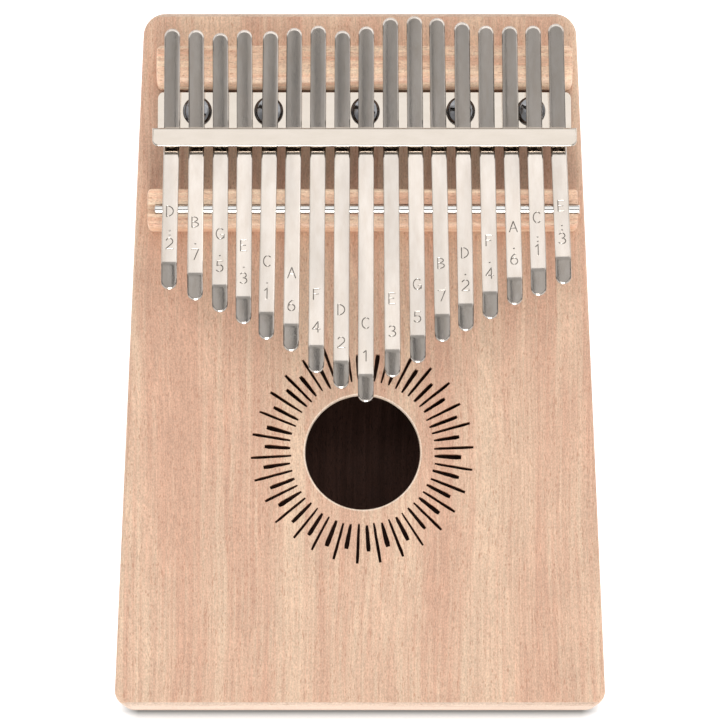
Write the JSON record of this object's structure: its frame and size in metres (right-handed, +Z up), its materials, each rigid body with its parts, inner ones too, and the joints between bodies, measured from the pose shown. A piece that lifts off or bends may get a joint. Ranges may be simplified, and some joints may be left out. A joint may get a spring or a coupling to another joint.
{
  "type": "mbira",
  "caption": "Box mbira (thumb piano) with steel tines clamped by a windowed bracket over two wooden bridges, on a tapered wooden sound box with a rayed round soundhole.",
  "frame": {"origin": "middle of the back face that the box lies on", "axes": "+Z up out of the soundboard, +Y towards the tuning end, +X to the right as the player sees it"},
  "size_m": [0.129, 0.185, 0.0454],
  "materials": {
    "mahogany": "bare sanded mahogany",
    "bridge_wood": "bare pale hardwood",
    "block_wood": "rough sawn hardwood",
    "rod_steel": "polished",
    "tine_steel": "nickel-plated spring steel",
    "bracket_steel": "satin",
    "dark_screw": "black oxide"
  },
  "bodies": {
    "box": {"soundboard": "mahogany", "back_plate": "mahogany", "left_side": "mahogany", "right_side": "mahogany", "head_end": "mahogany", "tail_end": "mahogany", "screw_block": "block_wood", "rear_bridge": "bridge_wood", "front_bridge": "bridge_wood", "bridge_rod": "rod_steel", "tine_bracket": "bracket_steel", "bracket_screw_1": "dark_screw", "bracket_screw_2": "dark_screw", "bracket_screw_3": "dark_screw", "bracket_screw_4": "dark_screw", "bracket_screw_5": "dark_screw"},
    "tine_01_shank": {"tine_01_shank": "tine_steel"},
    "tine_01_tongue": {"tine_01_tongue": "tine_steel"},
    "tine_02_shank": {"tine_02_shank": "tine_steel"},
    "tine_02_tongue": {"tine_02_tongue": "tine_steel"},
    "tine_03_shank": {"tine_03_shank": "tine_steel"},
    "tine_03_tongue": {"tine_03_tongue": "tine_steel"},
    "tine_04_shank": {"tine_04_shank": "tine_steel"},
    "tine_04_tongue": {"tine_04_tongue": "tine_steel"},
    "tine_05_shank": {"tine_05_shank": "tine_steel"},
    "tine_05_tongue": {"tine_05_tongue": "tine_steel"},
    "tine_06_shank": {"tine_06_shank": "tine_steel"},
    "tine_06_tongue": {"tine_06_tongue": "tine_steel"},
    "tine_07_shank": {"tine_07_shank": "tine_steel"},
    "tine_07_tongue": {"tine_07_tongue": "tine_steel"},
    "tine_08_shank": {"tine_08_shank": "tine_steel"},
    "tine_08_tongue": {"tine_08_tongue": "tine_steel"},
    "tine_09_shank": {"tine_09_shank": "tine_steel"},
    "tine_09_tongue": {"tine_09_tongue": "tine_steel"},
    "tine_10_shank": {"tine_10_shank": "tine_steel"},
    "tine_10_tongue": {"tine_10_tongue": "tine_steel"},
    "tine_11_shank": {"tine_11_shank": "tine_steel"},
    "tine_11_tongue": {"tine_11_tongue": "tine_steel"},
    "tine_12_shank": {"tine_12_shank": "tine_steel"},
    "tine_12_tongue": {"tine_12_tongue": "tine_steel"},
    "tine_13_shank": {"tine_13_shank": "tine_steel"},
    "tine_13_tongue": {"tine_13_tongue": "tine_steel"},
    "tine_14_shank": {"tine_14_shank": "tine_steel"},
    "tine_14_tongue": {"tine_14_tongue": "tine_steel"},
    "tine_15_shank": {"tine_15_shank": "tine_steel"},
    "tine_15_tongue": {"tine_15_tongue": "tine_steel"},
    "tine_16_shank": {"tine_16_shank": "tine_steel"},
    "tine_16_tongue": {"tine_16_tongue": "tine_steel"},
    "tine_17_shank": {"tine_17_shank": "tine_steel"},
    "tine_17_tongue": {"tine_17_tongue": "tine_steel"}
  },
  "joints": [
    {"name": "tine_01_tune", "type": "slide", "parent": "box", "child": "tine_01_shank", "axis": [0.0087, 1, 0], "range_m": [-0.001, 0.001]},
    {"name": "tine_01_pluck", "type": "hinge", "parent": "tine_01_shank", "child": "tine_01_tongue", "pos_m": [-0.05014, 0.03835, 0.03858], "axis": [1, -0.0087, 0], "range_deg": [-1, 3], "stiffness_Nm_per_rad": 9.72},
    {"name": "tine_02_tune", "type": "slide", "parent": "box", "child": "tine_02_shank", "axis": [0, 1, 0], "range_m": [-0.001, 0.001]},
    {"name": "tine_02_pluck", "type": "hinge", "parent": "tine_02_shank", "child": "tine_02_tongue", "pos_m": [-0.04341, 0.03835, 0.03858], "axis": [1, 0, 0], "range_deg": [-1, 3], "stiffness_Nm_per_rad": 8.56},
    {"name": "tine_03_tune", "type": "slide", "parent": "box", "child": "tine_03_shank", "axis": [-0.0017, 1, 0], "range_m": [-0.001, 0.001]},
    {"name": "tine_03_pluck", "type": "hinge", "parent": "tine_03_shank", "child": "tine_03_tongue", "pos_m": [-0.03692, 0.03835, 0.03858], "axis": [1, 0.0017, 0], "range_deg": [-1, 3], "stiffness_Nm_per_rad": 7.57},
    {"name": "tine_04_tune", "type": "slide", "parent": "box", "child": "tine_04_shank", "axis": [0, 1, 0], "range_m": [-0.001, 0.001]},
    {"name": "tine_04_pluck", "type": "hinge", "parent": "tine_04_shank", "child": "tine_04_tongue", "pos_m": [-0.03061, 0.03835, 0.03858], "axis": [1, 0, 0], "range_deg": [-1, 3], "stiffness_Nm_per_rad": 6.79},
    {"name": "tine_05_tune", "type": "slide", "parent": "box", "child": "tine_05_shank", "axis": [0.0122, 0.9999, 0], "range_m": [-0.001, 0.001]},
    {"name": "tine_05_pluck", "type": "hinge", "parent": "tine_05_shank", "child": "tine_05_tongue", "pos_m": [-0.02421, 0.03835, 0.03858], "axis": [0.9999, -0.0122, 0], "range_deg": [-1, 3], "stiffness_Nm_per_rad": 5.98},
    {"name": "tine_06_tune", "type": "slide", "parent": "box", "child": "tine_06_shank", "axis": [0.0087, 1, 0], "range_m": [-0.001, 0.001]},
    {"name": "tine_06_pluck", "type": "hinge", "parent": "tine_06_shank", "child": "tine_06_tongue", "pos_m": [-0.01779, 0.03835, 0.03858], "axis": [1, -0.0087, 0], "range_deg": [-1, 3], "stiffness_Nm_per_rad": 5.49},
    {"name": "tine_07_tune", "type": "slide", "parent": "box", "child": "tine_07_shank", "axis": [0.0052, 1, 0], "range_m": [-0.001, 0.001]},
    {"name": "tine_07_pluck", "type": "hinge", "parent": "tine_07_shank", "child": "tine_07_tongue", "pos_m": [-0.01127, 0.03835, 0.03858], "axis": [1, -0.0052, 0], "range_deg": [-1, 3], "stiffness_Nm_per_rad": 4.76},
    {"name": "tine_08_tune", "type": "slide", "parent": "box", "child": "tine_08_shank", "axis": [0.0035, 1, 0], "range_m": [-0.001, 0.001]},
    {"name": "tine_08_pluck", "type": "hinge", "parent": "tine_08_shank", "child": "tine_08_tongue", "pos_m": [-0.00478, 0.03835, 0.03858], "axis": [1, -0.0035, 0], "range_deg": [-1, 3], "stiffness_Nm_per_rad": 4.35},
    {"name": "tine_09_tune", "type": "slide", "parent": "box", "child": "tine_09_shank", "axis": [0.0017, 1, 0], "range_m": [-0.001, 0.001]},
    {"name": "tine_09_pluck", "type": "hinge", "parent": "tine_09_shank", "child": "tine_09_tongue", "pos_m": [0.0016, 0.03835, 0.03858], "axis": [1, -0.0017, 0], "range_deg": [-1, 3], "stiffness_Nm_per_rad": 4.05},
    {"name": "tine_10_tune", "type": "slide", "parent": "box", "child": "tine_10_shank", "axis": [-0.0052, 1, 0], "range_m": [-0.001, 0.001]},
    {"name": "tine_10_pluck", "type": "hinge", "parent": "tine_10_shank", "child": "tine_10_tongue", "pos_m": [0.00832, 0.03835, 0.03858], "axis": [1, 0.0052, 0], "range_deg": [-1, 3], "stiffness_Nm_per_rad": 4.64},
    {"name": "tine_11_tune", "type": "slide", "parent": "box", "child": "tine_11_shank", "axis": [-0.0087, 1, 0], "range_m": [-0.001, 0.001]},
    {"name": "tine_11_pluck", "type": "hinge", "parent": "tine_11_shank", "child": "tine_11_tongue", "pos_m": [0.01486, 0.03835, 0.03858], "axis": [1, 0.0087, 0], "range_deg": [-1, 3], "stiffness_Nm_per_rad": 5.07},
    {"name": "tine_12_tune", "type": "slide", "parent": "box", "child": "tine_12_shank", "axis": [-0.0157, 0.9999, 0], "range_m": [-0.001, 0.001]},
    {"name": "tine_12_pluck", "type": "hinge", "parent": "tine_12_shank", "child": "tine_12_tongue", "pos_m": [0.02117, 0.03835, 0.03858], "axis": [0.9999, 0.0157, 0], "range_deg": [-1, 3], "stiffness_Nm_per_rad": 5.88},
    {"name": "tine_13_tune", "type": "slide", "parent": "box", "child": "tine_13_shank", "axis": [-0.0105, 0.9999, 0], "range_m": [-0.001, 0.001]},
    {"name": "tine_13_pluck", "type": "hinge", "parent": "tine_13_shank", "child": "tine_13_tongue", "pos_m": [0.02754, 0.03835, 0.03858], "axis": [0.9999, 0.0105, 0], "range_deg": [-1, 3], "stiffness_Nm_per_rad": 6.39},
    {"name": "tine_14_tune", "type": "slide", "parent": "box", "child": "tine_14_shank", "axis": [-0.0122, 0.9999, 0], "range_m": [-0.001, 0.001]},
    {"name": "tine_14_pluck", "type": "hinge", "parent": "tine_14_shank", "child": "tine_14_tongue", "pos_m": [0.03394, 0.03835, 0.03858], "axis": [0.9999, 0.0122, 0], "range_deg": [-1, 3], "stiffness_Nm_per_rad": 7.1},
    {"name": "tine_15_tune", "type": "slide", "parent": "box", "child": "tine_15_shank", "axis": [-0.0157, 0.9999, 0], "range_m": [-0.001, 0.001]},
    {"name": "tine_15_pluck", "type": "hinge", "parent": "tine_15_shank", "child": "tine_15_tongue", "pos_m": [0.04038, 0.03835, 0.03858], "axis": [0.9999, 0.0157, 0], "range_deg": [-1, 3], "stiffness_Nm_per_rad": 8.14},
    {"name": "tine_16_tune", "type": "slide", "parent": "box", "child": "tine_16_shank", "axis": [-0.0174, 0.9998, 0], "range_m": [-0.001, 0.001]},
    {"name": "tine_16_pluck", "type": "hinge", "parent": "tine_16_shank", "child": "tine_16_tongue", "pos_m": [0.04669, 0.03835, 0.03858], "axis": [0.9998, 0.0174, 0], "range_deg": [-1, 3], "stiffness_Nm_per_rad": 9.01},
    {"name": "tine_17_tune", "type": "slide", "parent": "box", "child": "tine_17_shank", "axis": [-0.0262, 0.9997, 0], "range_m": [-0.001, 0.001]},
    {"name": "tine_17_pluck", "type": "hinge", "parent": "tine_17_shank", "child": "tine_17_tongue", "pos_m": [0.05314, 0.03835, 0.03858], "axis": [0.9997, 0.0262, 0], "range_deg": [-1, 3], "stiffness_Nm_per_rad": 10.4}
  ]
}
